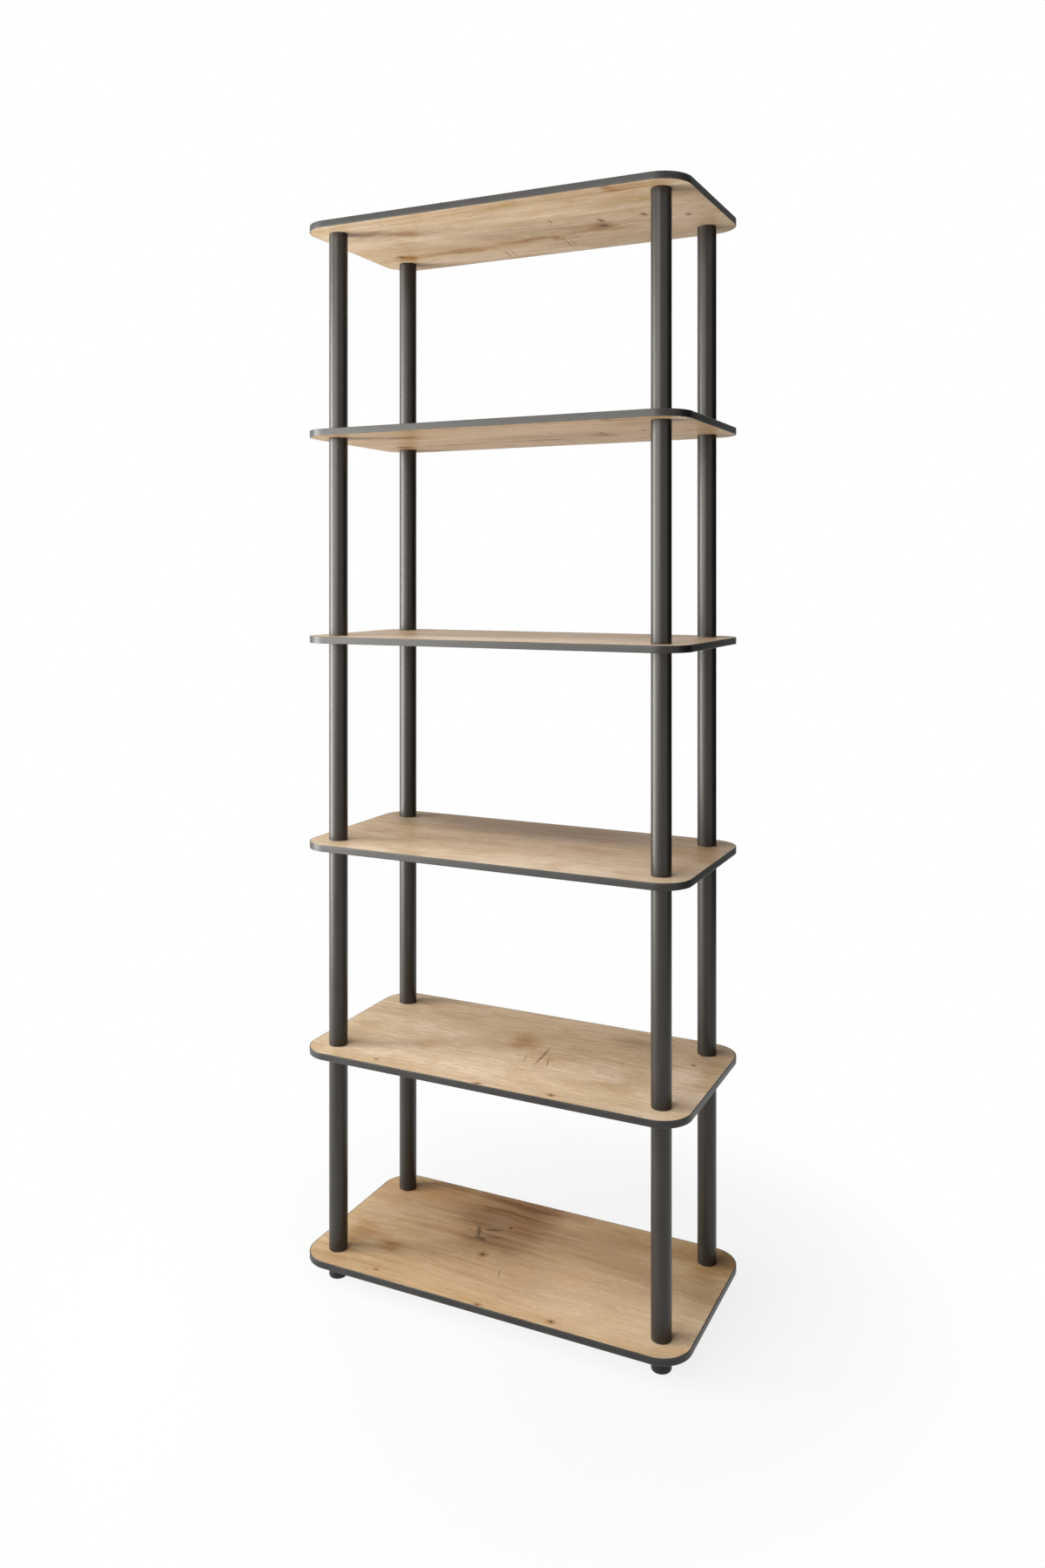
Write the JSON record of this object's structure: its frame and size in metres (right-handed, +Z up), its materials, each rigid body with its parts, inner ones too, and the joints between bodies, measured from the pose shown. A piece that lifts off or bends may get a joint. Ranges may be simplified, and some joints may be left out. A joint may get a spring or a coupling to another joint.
{
  "type": "bookcase",
  "caption": "Free-standing open bookcase: rounded light oak boards with dark edging, stacked on dark round tubes near their corners, open on every side.",
  "frame": {"origin": "on the floor, under the middle of the boards", "axes": "+X to the right along the boards' width, +Y to the back, +Z up"},
  "size_m": [0.6, 0.29, 1.5876],
  "materials": {
    "board": "satin light oak decor, grain along the width",
    "edging": "satin dark grey edge band",
    "tube": "satin dark grey paint",
    "connector": "natural moulded plastic, hidden",
    "foot": "matte black moulded plastic",
    "top_plug": "matte black moulded plastic"
  },
  "bodies": {
    "root": {"shelf_board_1": "board", "shelf_board_2": "board", "shelf_board_3": "board", "shelf_board_4": "board", "shelf_board_5": "board", "shelf_board_6": "board", "edge_band_1": "edging", "edge_band_2": "edging", "edge_band_3": "edging", "edge_band_4": "edging", "edge_band_5": "edging", "edge_band_6": "edging", "tube_1_front_left": "tube", "tube_1_front_right": "tube", "tube_1_back_left": "tube", "tube_1_back_right": "tube", "tube_2_front_left": "tube", "tube_2_front_right": "tube", "tube_2_back_left": "tube", "tube_2_back_right": "tube", "tube_3_front_left": "tube", "tube_3_front_right": "tube", "tube_3_back_left": "tube", "tube_3_back_right": "tube", "tube_4_front_left": "tube", "tube_4_front_right": "tube", "tube_4_back_left": "tube", "tube_4_back_right": "tube", "tube_5_front_left": "tube", "tube_5_front_right": "tube", "tube_5_back_left": "tube", "tube_5_back_right": "tube", "connector_2_front_left": "connector", "connector_2_front_right": "connector", "connector_2_back_left": "connector", "connector_2_back_right": "connector", "connector_3_front_left": "connector", "connector_3_front_right": "connector", "connector_3_back_left": "connector", "connector_3_back_right": "connector", "connector_4_front_left": "connector", "connector_4_front_right": "connector", "connector_4_back_left": "connector", "connector_4_back_right": "connector", "connector_5_front_left": "connector", "connector_5_front_right": "connector", "connector_5_back_left": "connector", "connector_5_back_right": "connector", "foot_front_left": "foot", "foot_front_right": "foot", "foot_back_left": "foot", "foot_back_right": "foot", "top_plug_front_left": "top_plug", "top_plug_front_right": "top_plug", "top_plug_back_left": "top_plug", "top_plug_back_right": "top_plug"}
  },
  "joints": []
}
